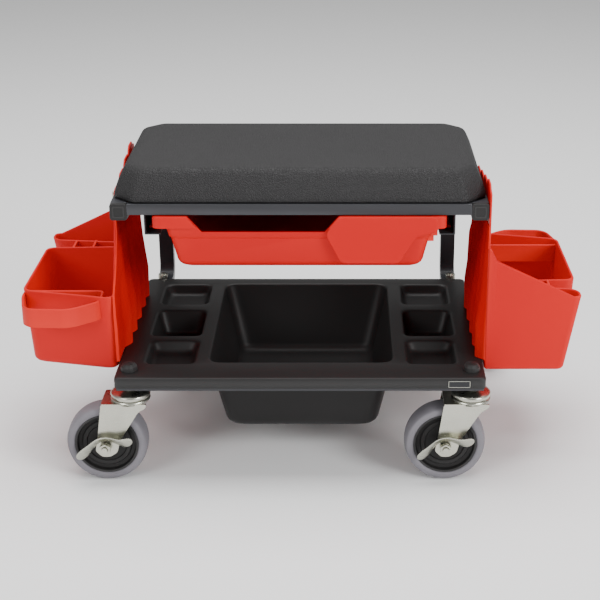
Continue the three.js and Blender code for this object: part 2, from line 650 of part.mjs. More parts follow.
function buildCastor(name, spot, mount, seatTop, turn, braked) {
  const castor = new THREE.Group();
  castor.position.set(spot[0], spot[1], 0);
  castor.rotation.z = turn;
  seat.add(castor);
  const wheelSpot = new THREE.Vector3(-WHEEL.trail, 0, WHEEL.radius);
  const nutBase = seatTop + GAP;
  place(`${name}_king_bolt`, kingBolt(nutBase + NUT_HEIGHT + 1), zinc(), castor);
  place(`${name}_king_nut`, hexNut(), zinc(), castor).position.z = nutBase;
  place(`${name}_top_race`, topRace(mount - GAP), zinc(), castor);
  place(`${name}_fork`, fork(), zinc(), castor);
  place(`${name}_hub`, hub(), blackPlastic(), castor).position.copy(wheelSpot);
  place(`${name}_tyre`, tyre(), greyRubber(), castor).position.copy(wheelSpot);
  place(`${name}_axle_bolt`, axleBolt(), zinc(), castor).position.copy(wheelSpot);
  place(`${name}_axle_nut`, axleNut(), zinc(), castor).position.copy(wheelSpot);
  if (braked) {
    const pedal = place(`${name}_brake_pedal`, brakePedal(), zinc(), castor);
    pedal.position.copy(wheelSpot);
    pedal.rotation.y = THREE.MathUtils.degToRad(-PEDAL.tilt);
  }
}

function buildCastors() {
  SIDES.forEach(([name, side]) => {
    buildCastor(`castor_front_${name}`, [side * CASTOR_FRONT.x, CASTOR_FRONT.y], FRAME_BASE,
      DECK_TOP, 0, true);
    buildCastor(`castor_rear_${name}`, [side * CASTOR_REAR.x, CASTOR_REAR.y], FRAME_BASE,
      FRAME_BASE + LEG.depth, Math.PI, false);
  });
}

// ---------------------------------------------------------------- assembly
buildSeat();
buildFrame();
buildDeck();
place('drawer', drawer(), redPlastic());
buildBins();
buildCastors();

// The origin lies midway between the pedals in front and the leg uprights behind.
const pedalFront = CASTOR_FRONT.y - FORK.innerY - FORK.plate - GAP - PEDAL.depth;
const legBack = LEG_POST_Y + LEG.depth / 2;
seat.position.y = -(pedalFront + legBack) / 2;

export default seat;
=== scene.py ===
import json
import math

import bmesh
import bpy
from mathutils import Matrix, Vector


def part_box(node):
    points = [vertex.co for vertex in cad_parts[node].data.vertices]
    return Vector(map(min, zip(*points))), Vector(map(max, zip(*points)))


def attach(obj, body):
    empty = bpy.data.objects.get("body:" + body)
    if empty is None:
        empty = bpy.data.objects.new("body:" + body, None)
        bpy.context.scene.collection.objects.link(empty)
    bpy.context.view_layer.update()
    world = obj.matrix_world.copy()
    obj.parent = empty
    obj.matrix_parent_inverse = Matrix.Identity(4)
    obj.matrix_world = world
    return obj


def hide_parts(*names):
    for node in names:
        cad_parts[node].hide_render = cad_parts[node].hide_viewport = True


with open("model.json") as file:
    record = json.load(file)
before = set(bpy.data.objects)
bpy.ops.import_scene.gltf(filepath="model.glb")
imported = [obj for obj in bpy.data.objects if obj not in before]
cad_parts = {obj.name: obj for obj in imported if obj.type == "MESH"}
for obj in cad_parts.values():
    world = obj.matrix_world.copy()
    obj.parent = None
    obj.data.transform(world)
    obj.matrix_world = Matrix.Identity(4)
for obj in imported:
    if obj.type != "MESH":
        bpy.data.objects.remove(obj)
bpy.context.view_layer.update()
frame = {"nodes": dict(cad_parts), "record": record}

# ---------------------------------------------------------------- driving dimensions, millimetres
# Pieces are drawn about the middle of the deck, with the floor at zero, and then moved into the frame.
DECK_LOW, DECK_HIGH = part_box("deck_tray")
MIDDLE_Y = (DECK_LOW.y + DECK_HIGH.y) / 2
MM = 0.001

DECK_TOP = 144
DECK_HALF = (225, 170)
DECK_LIP = 13.5
DECK_SHEET = 2.4
DECK_CORNER = 7
MOUTH_ROLL = 3.0
WELL_TOP = (-114, 114, -121, 147)
WELL_BASE = (-93, 93, -106, 132)
WELL_FLOOR = 49.5
WELL_CORNER, WELL_EDGE = 18, 10
# Each pocket: inner and outer X, front and back Y, depth.
POCKETS = [(132, 197, 71, 145, 14), (131, 196, -38, 49, 32), (131, 193, -126, -55, 14)]
POCKET_CORNER, POCKET_EDGE = 12, 5
POCKET_DRAFT = 4
POCKET_DRAFT_PER_DEPTH = 0.12

# The blank plate on the lip: its corners and the line drawn round it, in X and Z.
PLATE = (178.5, 206.3, 131.5, 141)
PLATE_LINES = [(179.3, 205.5, 132.1, 132.6), (179.3, 205.5, 139.9, 140.4),
               (179.3, 179.8, 132.1, 140.4), (205.0, 205.5, 132.1, 140.4)]

PAD_HALF = 225
PAD_FRONT, PAD_BACK = -111, 135
PAD_CHAMFER = 24
PAD_CORNER = 5
PAD_DISH = 2.2
PAD_RINGS = 12
# The pad's side from the board up: inset from the outline, height.
PAD_SIDE = [(4.0, 346.0), (1.4, 346.3), (0.4, 348.0), (1.2, 353), (5.4, 365), (10.6, 376.5),
            (12.3, 379.4), (14.4, 381.9), (17.4, 383.9), (22.0, 385.0), (30, 384.9)]

DRAWER_TOP = (-163, 163, -114, 108)
DRAWER_BASE = (-147, 147, -105, 100)
DRAWER_Z = (262.3, 330.8)
DRAWER_RIM = (-176.3, 176.3, -118, 112)
DRAWER_SKIRT = 14.5
DRAWER_WALL = 2.4
DRAWER_CORNER = 11
DRAWER_COLLAR = 1.6
DIP = [(-142.7, 341), (-134.7, 330.8), (-117.6, 310.4), (30.1, 310.4), (47.2, 330.8), (55.2, 341)]
PLAQUE = [(30.5, 309), (49.5, 272), (119.5, 272), (138, 304), (149, 309), (166, 311), (166, 330.6),
          (47.5, 330.6)]
MOUTH_CUT_FRONT = -150
CATCH_STEPS = [(155, 166, 303, 317), (153.5, 161.5, 296, 303)]
CATCH_FRONT, CATCH_BACK = -104, -98
RUNNER_X = (156.5, 183.6)
RUNNER_Z = (306.4, 309.2)
RUNNER_FRONT, RUNNER_BACK = -84, 104
PLAQUE_FACE = -118.15

BIN_INNER, BIN_OUTER = 226.7, 343
BIN_RIM, BIN_BASE = 230, 130
BIN_WALL = 3
PANEL_INSET = 0.3
PANEL_TOP = 366
BIN_RIBS = [-104, -66, -25, 18, 60]
# The pleats from the deck up: height, how far they stand out, where they end at the back.
PLEATS = [(144.4, 10.6, 121), (187, 11.4, 123), (209, 8.8, 124), (232, 6.2, 122), (252, 4.8, 98),
          (272, 3.8, 83), (296, 2.2, 73), (318, 0.2, 67)]
PLEAT_FRONT = -116.5
PLEAT_ENTRY = 13
PLEAT_HALF_WIDTH = 21
PLEAT_STEPS = 96
# The small compartment's front wall: X, how far it rises above the rim.
FRONT_CLIMB = [(226, 61), (230, 61), (238, 45), (286, 21), (330, 0), (BIN_OUTER, 0)]
LOOP = [(342.8, 84), (342.8, 104), (335, 138), (325, 147.8), (282, 149.8), (270, 145), (243, 122),
        (243, 84)]
LOOP_BOTTOM, LOOP_TOP = 201, 225
WEB_X = (282, 308)

WHEEL_CENTRE = 50
WHEEL_TRAIL = 31
# Half profiles for one face of a wheel: radius, distance from the middle plane.
TYRE_HALF = [(39.4, 14.4), (40.4, 15.5), (42, 15.9), (46.6, 15.5), (47.6, 14.5), (48.9, 11.4),
             (49.8, 7.4), (50, 3)]
HUB_HALF = [(4.7, 17), (10.4, 17), (11.2, 16), (12.4, 11), (24.2, 9.4), (25.2, 10.6), (29.6, 10.6),
            (31, 9.0), (35.2, 9.6), (36.6, 14.2), (39.1, 14.4)]
# Profiles about the king bolt: radius, height.
HEAD_BORE = 4.7
HEAD_SIDE = [(22, 110.8), (23.8, 111.3), (24.3, 112.4), (24.3, 115.2), (23.4, 116.6), (20, 118),
             (11, 118.4), (9, 119.6)]
HEAD_NECK = 9
DISH = [(5.8, 107.5), (22.6, 107.2), (24.0, 107.5), (24.5, 108.5), (24.0, 109.8), (22.8, 110.5),
        (5.8, 110.5)]
# The pedal strip from wing tip to wing tip: along, up, half width, distance out from the fork.
WINGS = [(-36.5, -5.0, 1.5, 9), (-34, -4.6, 5.0, 9), (-29, -3.0, 7.4, 8.6), (-23, 0.2, 7.6, 7.8),
         (-16, 5.0, 5.6, 5.6), (-9, 10.2, 4.4, 4.6), (0, 12.4, 4.2, 4.4), (9, 10.2, 4.4, 4.6),
         (16, 5.6, 5.6, 5.6), (23, 3.6, 7.2, 7.8), (29, 4.0, 7.0, 8.4), (34, 5.4, 4.8, 9),
         (36.3, 6.2, 1.5, 9)]
WING_SPREAD = 1.22
WING_THICK = 1.8
WING_DISH = 0.8
WING_TILT = 10
WING_LEAN, WING_EXTRA_LEAN = 44, 18
WING_LIMIT = -36.6
FORK_FACE = -21.9
CASTORS = {
    "front_left": (-209, -145, -1), "front_right": (209, -145, -1),
    "rear_left": (-206, 178, 1), "rear_right": (206, 178, 1),
}
SIDES = {"left": -1, "right": 1}
CAP_FRAME_OUTER, CAP_FRAME_INNER = 7.2, 5.6

PEBBLES_PER_METRE = 340
ROOM_STRENGTH = 0.42
FLOOR_REACH = 12
CAMERA_SPOT = (0.052, MIDDLE_Y - 1.701, 0.855)
CAMERA_DOWN = 21.7


# ---------------------------------------------------------------- outlines and solids
def rectangle(extents):
    x0, x1, y0, y1 = extents
    return [(x0, y0), (x1, y0), (x1, y1), (x0, y1)]


def offset(points, distance):
    """Moves each side of a counter-clockwise outline inwards by the distance."""
    moved = []
    count = len(points)
    for i, here in enumerate(points):
        here = Vector(here)
        before = (here - Vector(points[i - 1])).normalized()
        after = (Vector(points[(i + 1) % count]) - here).normalized()
        normal = Vector((-before.y - after.y, before.x + after.x)).normalized()
        spread = max(0.35, normal.dot(Vector((-before.y, before.x))))
        moved.append(tuple(here + normal * (distance / spread)))
    return moved


def rounded(points, radius, steps=7):
    """The outline with each corner turned into a smooth curve."""
    curve = []
    count = len(points)
    for i, here in enumerate(points):
        here = Vector(here)
        back = Vector(points[i - 1]) - here
        ahead = Vector(points[(i + 1) % count]) - here
        reach = min(radius, back.length * 0.45, ahead.length * 0.45)
        start = here + back.normalized() * reach
        end = here + ahead.normalized() * reach
        for k in range(steps + 1):
            t = k / steps
            curve.append(tuple(start * (1 - t) ** 2 + here * (2 * t * (1 - t)) + end * t * t))
    return curve


def between(low, high, share):
    return [tuple(Vector(a).lerp(Vector(b), share)) for a, b in zip(low, high)]


class Mesh:
    """Faces gathered in millimetres about the middle of the deck."""

    def __init__(self):
        self.bm = bmesh.new()

    def ring(self, points, z):
        return [self.bm.verts.new((x, y, z)) for x, y in points]

    def bridge(self, lower, upper):
        count = len(lower)
        for i in range(count):
            j = (i + 1) % count
            self.bm.faces.new((lower[i], lower[j], upper[j], upper[i]))

    def loft(self, rings, cap_first=True, cap_last=True):
        for lower, upper in zip(rings, rings[1:]):
            self.bridge(lower, upper)
        if cap_first:
            self.bm.faces.new(list(reversed(rings[0])))
        if cap_last:
            self.bm.faces.new(rings[-1])

    def prism(self, points, low, high, across):
        """An outline pushed from low to high; across places (u, v, w) in space."""
        first = [self.bm.verts.new(across(u, v, low)) for u, v in points]
        last = [self.bm.verts.new(across(u, v, high)) for u, v in points]
        self.loft([first, last])

    def lathe(self, profile, across, steps=72):
        """A closed profile of (radius, height) turned about an axis."""
        rings = []
        for k in range(steps):
            turn = math.tau * k / steps
            rings.append([self.bm.verts.new(across(r * math.cos(turn), r * math.sin(turn), h))
                          for r, h in profile])
        for k in range(steps):
            self.bridge(rings[k], rings[(k + 1) % steps])

    def piece(self, name, finish, body, slot, smooth=40, bevel=0.0, turn=0.0):
        bmesh.ops.rotate(self.bm, verts=self.bm.verts, cent=(0, 0, 0),
                         matrix=Matrix.Rotation(turn, 3, "Z"))
        for vert in self.bm.verts:
            vert.co = Vector((vert.co.x * MM, vert.co.y * MM + MIDDLE_Y, vert.co.z * MM))
        bmesh.ops.recalc_face_normals(self.bm, faces=self.bm.faces)
        data = bpy.data.meshes.new(name)
        self.bm.to_mesh(data)
        self.bm.free()
        piece = bpy.data.objects.new(name, data)
        bpy.context.collection.objects.link(piece)
        piece.data.materials.append(finish)
        soften(piece, bevel, smooth)
        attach(piece, body)
        return piece


def soften(piece, width, smooth=40):
    """Rounds the sharp edges by a width in millimetres and shades the rest smooth."""
    if width:
        bevel = piece.modifiers.new("rounded_edges", "BEVEL")
        bevel.width = width * MM
        bevel.segments = 3
        bevel.limit_method = "ANGLE"
        bevel.angle_limit = math.radians(smooth)
        bevel.use_clamp_overlap = True
    for polygon in piece.data.polygons:
        polygon.use_smooth = True
    piece.data.set_sharp_from_angle(angle=math.radians(smooth))


def flat(u, v, w):
    return (u, v, w)


def facing(u, v, w):
    return (u, w, v)


def sideways(u, v, w):
    return (w, u, v)


def level(x, y):
    return 0


def tub(mesh, top, base, z_base, z_top, radius, wall, edge, climb=level):
    """An open tub with draft: up the outside, over a round rim and down the inside."""
    def ring(z, inset, corner, lifted=False):
        share = (z - z_base) / (z_top - z_base)
        points = rounded(offset(between(base, top, share), inset), max(corner, 1))
        return [mesh.bm.verts.new((x, y, z + (climb(x, y) if lifted else 0))) for x, y in points]

    turns = [math.radians(a) for a in (0, 22.5, 45, 67.5, 90)]
    outside = [ring(z_base + edge * (1 - math.cos(a)), edge * (1 - math.sin(a)), radius) for a in turns]
    half = wall / 2
    rim = [ring(z_top - half + half * math.sin(a), half * (1 - math.cos(a)), radius, True)
           for a in (math.pi * k / 6 for k in range(7))]
    inner = max(edge - wall, 2)
    inside = [ring(z_base + wall + inner * (1 - math.cos(a)), wall + inner * (1 - math.sin(a)),
                   radius - wall) for a in reversed(turns)]
    mesh.loft(outside + rim + inside)


# ---------------------------------------------------------------- shader maths
class Value:
    """A socket that carries a number, so that shader maths reads as arithmetic."""

    def __init__(self, finish, socket):
        self.finish = finish
        self.socket = socket

    def _math(self, operation, first, second):
        made = self.finish.node("ShaderNodeMath", {"operation": operation}, {0: first, 1: second})
        return Value(self.finish, made.outputs[0])

    def __add__(self, other):
        return self._math("ADD", self, other)

    def __mul__(self, other):
        return self._math("MULTIPLY", self, other)

    __radd__ = __add__
    __rmul__ = __mul__


class Finish:
    """One material and the nodes that make it."""

    def __init__(self, name):
        self.material = bpy.data.materials.new(name)
        self.material.use_nodes = True
        self.tree = self.material.node_tree
        self.shader = self.tree.nodes["Principled BSDF"]
        self.place = self.node("ShaderNodeTexCoord").outputs["Object"]

    def node(self, kind, settings=None, sockets=None):
        made = self.tree.nodes.new(kind)
        for name, value in (settings or {}).items():
            setattr(made, name, value)
        for key, value in (sockets or {}).items():
            self.put(made.inputs[key], value)
        return made

    def put(self, socket, value):
        if isinstance(value, Value):
            value = value.socket
        if isinstance(value, bpy.types.NodeSocket):
            self.tree.links.new(value, socket)
        else:
            socket.default_value = value

    def noise(self, scale, detail=3.0, stretch=(1, 1, 1)):
        spot = self.node("ShaderNodeMapping", {}, {"Vector": self.place, "Scale": stretch})
        made = self.node("ShaderNodeTexNoise", {},
                         {"Vector": spot.outputs[0], "Scale": scale, "Detail": detail})
        return Value(self, made.outputs[0])

    def cells(self, scale):
        made = self.node("ShaderNodeTexVoronoi", {"feature": "DISTANCE_TO_EDGE"},
                         {"Vector": self.place, "Scale": scale})
        return Value(self, made.outputs[0])

    def ramp(self, value, low, high):
        made = self.node("ShaderNodeMapRange", {}, {0: value, 1: low, 2: high, 3: 0.0, 4: 1.0})
        return Value(self, made.outputs[0])

    # Mask of the sharp convex edges: the mouldings use it for a painted edge highlight, the powder coat
    # for edge wear.
    def edges(self):
        made = self.node("ShaderNodeNewGeometry")
        return self.ramp(Value(self, made.outputs["Pointiness"]), 0.52, 0.60)

    def mix(self, share, first, second):
        made = self.node("ShaderNodeMix", {"data_type": "RGBA"}, {0: share, 6: first, 7: second})
        return made.outputs[2]

    def surface(self, colour, roughness, bump=None, strength=0.3, depth=0.0002, metal=0.0,
                gloss=0.5):
        self.put(self.shader.inputs["Base Color"], colour)
        self.put(self.shader.inputs["Roughness"], roughness)
        self.put(self.shader.inputs["Metallic"], metal)
        self.put(self.shader.inputs["Specular IOR Level"], gloss)
        if bump is not None:
            made = self.node("ShaderNodeBump", {},
                             {"Strength": strength, "Distance": depth, "Height": bump})
            self.put(self.shader.inputs["Normal"], made.outputs[0])
        return self.material


def rgb(red, green, blue):
    return (red, green, blue, 1.0)


def pebbled_skin():
    finish = Finish("pebbled_skin")
    pebbles = finish.ramp(finish.cells(PEBBLES_PER_METRE), 0.0, 0.22)
    scuffs = finish.noise(9, 5)
    colour = finish.mix(scuffs, rgb(0.013, 0.0125, 0.013), rgb(0.022, 0.021, 0.022))
    roughness = 0.50 + scuffs * 0.16
    return finish.surface(colour, roughness, pebbles + finish.noise(900, 2) * 0.4, 0.85, 0.0006,
                          gloss=0.32)


def powder_coat():
    finish = Finish("powder_coat")
    tone = finish.noise(14, 4)
    colour = finish.mix(tone, rgb(0.010, 0.0105, 0.013), rgb(0.017, 0.018, 0.021))
    worn = finish.mix(finish.edges() * 0.35, colour, rgb(0.11, 0.11, 0.12))
    return finish.surface(worn, 0.34 + tone * 0.14, finish.noise(1500, 2), 0.16, 0.0002, gloss=0.3)


def deck_moulding_finish():
    finish = Finish("black_moulding")
    stipple = finish.noise(1700, 2)
    tone = finish.noise(6, 4)
    colour = finish.mix(tone, rgb(0.0085, 0.008, 0.008), rgb(0.0145, 0.0135, 0.0135))
    # Painted highlight: the sharp edges of the deck are lightened towards grey, standing in for the
    # highlight lines along the lip and pocket mouths.
    lifted = finish.mix(finish.edges() * 0.30, colour, rgb(0.08, 0.08, 0.08))
    return finish.surface(lifted, 0.40 + tone * 0.14, stipple, 0.22, 0.0002, gloss=0.26)


def red_moulding(name, shine, gloss):
    finish = Finish(name)
    tone = finish.noise(5, 4)
    colour = finish.mix(tone, rgb(0.50, 0.0035, 0.004), rgb(0.60, 0.006, 0.005))
    # Painted highlight: the sharp edges are lightened to a brighter red, standing in for the sheen on the
    # rounded edges of the red mouldings.
    lifted = finish.mix(finish.edges() * 0.5, colour, rgb(0.80, 0.045, 0.025))
    return finish.surface(lifted, shine + tone * 0.12, finish.noise(1200, 2), 0.10, 0.0002, gloss=gloss)


def bright_zinc():
    finish = Finish("bright_zinc")
    streaks = finish.noise(60, 4, (1, 1, 6))
    clouds = finish.noise(28, 5)
    colour = finish.mix(clouds, rgb(0.40, 0.41, 0.36), rgb(0.62, 0.61, 0.52))
    return finish.surface(colour, 0.20 + streaks * 0.18, streaks, 0.08, 0.0002, metal=1.0)


def grey_rubber():
    finish = Finish("grey_rubber")
    dust = finish.noise(40, 5)
    colour = finish.mix(dust, rgb(0.135, 0.128, 0.145), rgb(0.20, 0.19, 0.21))
    return finish.surface(colour, 0.58 + dust * 0.18, finish.noise(700, 3), 0.18, 0.0002)


def plywood():
    finish = Finish("plywood")
    grain = finish.noise(18, 6, (1, 14, 14))
    colour = finish.mix(grain, rgb(0.24, 0.13, 0.055), rgb(0.50, 0.33, 0.17))
    return finish.surface(colour, 0.60 + grain * 0.2, grain, 0.25, 0.0003)


PAD_SKIN = pebbled_skin()
COAT = powder_coat()
BLACK = deck_moulding_finish()
RED = red_moulding("red_moulding", 0.46, 0.18)
RED_MATT = red_moulding("red_moulding_matt", 0.80, 0.0)
ZINC = bright_zinc()
RUBBER = grey_rubber()
PLY = plywood()


# ---------------------------------------------------------------- seat
def pad_outline(inset):
    corner = PAD_CHAMFER - inset * 0.2
    x = PAD_HALF - inset
    front = PAD_FRONT + inset * 0.9
    back = PAD_BACK - inset * 0.9
    return [(-x + corner, front), (x - corner, front), (x, front + corner), (x, back - corner),
            (x - corner, back), (-x + corner, back), (-x, back - corner), (-x, front + corner)]


def build_pad():
    """Moulded foam: a drafted skirt, a rolled top edge and a shallow dish to sit in."""
    mesh = Mesh()
    rings = [mesh.ring(rounded(pad_outline(inset), PAD_CORNER), z) for inset, z in PAD_SIDE]
    middle = Vector((0, (PAD_FRONT + PAD_BACK) / 2))
    last_inset, last_z = PAD_SIDE[-1]
    edge = rounded(pad_outline(last_inset), PAD_CORNER)
    for k in range(1, PAD_RINGS):
        share = k / PAD_RINGS
        ring = [tuple(Vector(p).lerp(middle, share)) for p in edge]
        rings.append(mesh.ring(ring, last_z - PAD_DISH * math.sin(share * math.pi / 2) ** 2))
    mesh.loft(rings)
    pad = mesh.piece("seat_cushion", PAD_SKIN, "base", "pad", smooth=60)
    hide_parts("seat_pad")


# ---------------------------------------------------------------- deck
def build_deck():
    """One sheet: the turned-down lip, the flat top, the well and the six pockets."""
    mesh = Mesh()
    x, y = DECK_HALF
    rim = rectangle((-x, x, -y, y))
    outside = [mesh.ring(rounded(rim, DECK_CORNER), DECK_TOP - DECK_LIP)]
    for degrees in (0, 30, 60, 90):
        a = math.radians(degrees)
        outside.append(mesh.ring(rounded(offset(rim, MOUTH_ROLL * (1 - math.cos(a))), DECK_CORNER),
                                 DECK_TOP - MOUTH_ROLL + MOUTH_ROLL * math.sin(a)))
    mesh.loft(outside, cap_first=False, cap_last=False)
    border = [outside[-1]]
    hollows = [(WELL_TOP, WELL_BASE, WELL_FLOOR, WELL_CORNER, WELL_EDGE)]
    for inner, outer, front, back, depth in POCKETS:
        draft = POCKET_DRAFT + depth * POCKET_DRAFT_PER_DEPTH
        for side in SIDES.values():
            low, high = sorted((side * inner, side * outer))
            hollows.append(((low, high, front, back),
                            (low + draft, high - draft, front + draft, back - draft),
                            DECK_TOP - depth, POCKET_CORNER, POCKET_EDGE))
    for top, base, floor, corner, edge in hollows:
        border.append(hollow(mesh, rectangle(top), rectangle(base), floor, corner, edge))
    edges = set()
    for ring in border:
        for a, b in zip(ring, ring[1:] + ring[:1]):
            edges.add(mesh.bm.edges.get((a, b)))
    bmesh.ops.triangle_fill(mesh.bm, use_beauty=True, use_dissolve=False, edges=list(edges))
    deck = mesh.piece("deck_moulding", BLACK, "base", "black_plastic", smooth=55)
    sheet = deck.modifiers.new("sheet_thickness", "SOLIDIFY")
    sheet.thickness = DECK_SHEET * MM
    sheet.offset = -1
    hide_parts("deck_tray")


def hollow(mesh, top, base, floor, corner, edge):
    """A drafted hollow with a rolled mouth and a rounded floor; returns its mouth ring."""
    def ring(z, inset, radius):
        share = (z - floor) / (DECK_TOP - floor)
        return mesh.ring(rounded(offset(between(base, top, share), inset), radius), z)

    rings = []
    for degrees in (90, 60, 30, 0):
        a = math.radians(degrees)
        rings.append(ring(DECK_TOP - MOUTH_ROLL + MOUTH_ROLL * math.sin(a),
                          -MOUTH_ROLL * (1 - math.cos(a)), corner))
    for degrees in (90, 67, 45, 22, 0):
        a = math.radians(degrees)
        rings.append(ring(floor + edge * (1 - math.cos(a)), edge * (1 - math.sin(a)), corner))
    mesh.loft(rings, cap_first=False)
    return rings[0]


def build_badge():
    """A blank outlined plate on the lip."""
    mesh = Mesh()
    front = -DECK_HALF[1]
    mesh.prism(rounded(rectangle(PLATE), 1.2, 4), front - 0.5, front + 0.2, facing)
    mesh.piece("blank_plate", COAT, "base", "black_plastic", bevel=0.15)
    mesh = Mesh()
    for line in PLATE_LINES:
        mesh.prism(rectangle(line), front - 0.62, front - 0.45, facing)
    mesh.piece("plate_outline", ZINC, "base", "zinc")


# ---------------------------------------------------------------- drawer
def cut_away(piece, cutter):
    """Takes the cutter's space out of the piece and keeps only the result."""
    knife = piece.modifiers.new("cut", "BOOLEAN")
    knife.operation = "DIFFERENCE"
    knife.solver = "EXACT"
    knife.use_self = True
    knife.object = cutter
    bpy.context.view_layer.update()
    evaluated = piece.evaluated_get(bpy.context.evaluated_depsgraph_get())
    data = bpy.data.meshes.new_from_object(evaluated)
    piece.modifiers.clear()
    piece.data = data
    bpy.data.objects.remove(cutter)
    soften(piece, 0.5, 42)


def build_drawer():
    low, high = DRAWER_Z
    mesh = Mesh()
    tub(mesh, rectangle(DRAWER_TOP), rectangle(DRAWER_BASE), low, high, DRAWER_CORNER, DRAWER_WALL, 10)
    tub_piece = mesh.piece("drawer_tub", RED, "drawer", "red_plastic")
    cut_away(tub_piece, mouth_cutter(-90))
    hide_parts("drawer")
    mesh = Mesh()
    rim = rectangle(DRAWER_RIM)
    inner = rectangle(DRAWER_TOP)
    rings = [mesh.ring(rounded(rim, 9), high - DRAWER_SKIRT), mesh.ring(rounded(rim, 9), high - 1.2),
             mesh.ring(rounded(offset(rim, 1.2), 9), high), mesh.ring(rounded(offset(inner, 1), 12), high),
             mesh.ring(rounded(offset(inner, 1), 12), high - 2.4),
             mesh.ring(rounded(offset(rim, 2.4), 8), high - 2.4),
             mesh.ring(rounded(offset(rim, 2.4), 8), high - DRAWER_SKIRT)]
    mesh.loft(rings + [rings[0]], cap_first=False, cap_last=False)
    rim_piece = mesh.piece("drawer_rim", RED, "drawer", "red_plastic")
    cut_away(rim_piece, mouth_cutter(-98))
    build_drawer_details()


def mouth_cutter(back):
    mesh = Mesh()
    mesh.prism(DIP, MOUTH_CUT_FRONT, back, facing)
    return mesh.piece("mouth_cutter", RED, "drawer", "red_plastic")


def collar_ring(mesh, z, inset):
    """The tub's outline at a height, moved inwards by the inset."""
    low, high = DRAWER_Z
    outline = between(rectangle(DRAWER_BASE), rectangle(DRAWER_TOP), (z - low) / (high - low))
    return mesh.ring(rounded(offset(outline, inset), DRAWER_CORNER), z)


def build_drawer_details():
    mesh = Mesh()
    mesh.prism(rounded(PLAQUE, 7), PLAQUE_FACE, -109.5, facing)
    mesh.piece("drawer_plaque", RED, "drawer", "red_plastic", bevel=1.1)
    mesh = Mesh()
    rings = [collar_ring(mesh, z, inset) for z, inset in
             ((301, 0.4), (303.5, -DRAWER_COLLAR), (317, -DRAWER_COLLAR), (317, 1.2), (301, 1.2))]
    mesh.loft(rings + [rings[0]], cap_first=False, cap_last=False)
    collar = mesh.piece("drawer_collar", RED, "drawer", "red_plastic")
    cut_away(collar, mouth_cutter(-100))
    mesh = Mesh()
    for step in CATCH_STEPS:
        mesh.prism(rectangle(step), CATCH_FRONT, CATCH_BACK, facing)
    mesh.piece("drawer_catch", RED, "drawer", "red_plastic", bevel=0.4)
    mesh = Mesh()
    for side in SIDES.values():
        low, high = sorted(side * x for x in RUNNER_X)
        mesh.prism(rectangle((low, high, *RUNNER_Z)), RUNNER_FRONT, RUNNER_BACK, facing)
    mesh.piece("drawer_runners", RED, "drawer", "red_plastic", bevel=0.4)


# ---------------------------------------------------------------- side bins
BIG_TOP = [(BIN_INNER, -66), (BIN_OUTER, -61), (BIN_OUTER, 97), (BIN_INNER, 125)]
SMALL_TOP = [(BIN_INNER, -120), (BIN_INNER + 8, -120), (BIN_OUTER, -120),
             (BIN_OUTER, -100), (334, -90), (BIN_INNER, -79)]


def drafted(points, middle, scale):
    return [(BIN_INNER + (x - BIN_INNER) * scale[0], middle + (y - middle) * scale[1]) for x, y in points]


def front_climb(x, y):
    """How far the small compartment's front wall rises towards the panel."""
    share = min(max((-104 - y) / 10, 0), 1)
    for (x0, z0), (x1, z1) in zip(FRONT_CLIMB, FRONT_CLIMB[1:]):
        if x0 <= x <= x1:
            return share * (z0 + (z1 - z0) * (x - x0) / (x1 - x0))
    return 0


def build_pleats(side_name, turn):
    """The frame side of the panel: broad rounded pleats that lean out towards the deck."""
    mesh = Mesh()
    rows = []
    for z, depth, back in PLEATS:
        crest = []
        for k in range(PLEAT_STEPS + 1):
            y = PLEAT_FRONT + (back - PLEAT_FRONT) * k / PLEAT_STEPS
            nearest = min(abs(y - rib) for rib in BIN_RIBS)
            swell = 0.62 + 0.38 * math.cos(math.pi * min(nearest / PLEAT_HALF_WIDTH, 1))
            entry = math.sin(math.pi / 2 * min((y - PLEAT_FRONT) / PLEAT_ENTRY, 1))
            crest.append((BIN_INNER - depth * swell * entry, y))
        rows.append(mesh.ring([(BIN_INNER + 1, PLEAT_FRONT), *crest, (BIN_INNER + 1, back)], z))
    mesh.loft(rows)
    mesh.piece(f"side_bin_{side_name}_pleats", RED_MATT, "base", "red_plastic", smooth=50, turn=turn)


def panel_outline():
    crest = []
    for i, (start, end) in enumerate(zip(BIN_RIBS, BIN_RIBS[1:])):
        z = PANEL_TOP - 20 * i / 3
        crest += [(start + 2, z - 5), (start + 9, z), (end - 9, z), (end - 2, z - 5)]
    return [(-114, 138), (-114, 358), *crest, (66, 336), (69, 309), (84, 272), (110, 230), (110, 160),
            (104, 138)]


def build_bin(side_name):
    turn = math.pi if side_name == "left" else 0.0
    made = f"side_bin_{side_name}"
    mesh = Mesh()
    tub(mesh, BIG_TOP, drafted(BIG_TOP, 20, (0.95, 0.93)), BIN_BASE, BIN_RIM, 12, BIN_WALL, 8)
    tub(mesh, SMALL_TOP, drafted(SMALL_TOP, -99, (0.85, 0.84)), BIN_BASE, BIN_RIM, 9, BIN_WALL, 6,
        front_climb)
    body = mesh.piece(f"{made}_tubs", RED, "base", "red_plastic", smooth=50, turn=turn)
    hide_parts(made)
    mesh = Mesh()
    mesh.prism(panel_outline(), BIN_INNER + PANEL_INSET, BIN_INNER + BIN_WALL - PANEL_INSET, sideways)
    for x in WEB_X:
        mesh.prism(rectangle((x - 1.5, x + 1.5, -91, -62)), BIN_RIM - 7, BIN_RIM - 0.4, flat)
    mesh.piece(f"{made}_panel", RED, "base", "red_plastic", smooth=30, bevel=0.9, turn=turn)
    mesh = Mesh()
    outer = rounded(LOOP, 9)
    inner = rounded(offset(LOOP, BIN_WALL), 7)
    rings = [mesh.ring(outer, LOOP_BOTTOM), mesh.ring(outer, LOOP_TOP - 1),
             mesh.ring(rounded(offset(LOOP, 1), 8), LOOP_TOP),
             mesh.ring(rounded(offset(LOOP, 2), 8), LOOP_TOP),
             mesh.ring(inner, LOOP_TOP - 1), mesh.ring(inner, LOOP_BOTTOM)]
    mesh.loft(rings + [rings[0]], cap_first=False, cap_last=False)
    mesh.piece(f"{made}_loop", RED, "base", "red_plastic", smooth=40, turn=turn)
    build_pleats(side_name, turn)


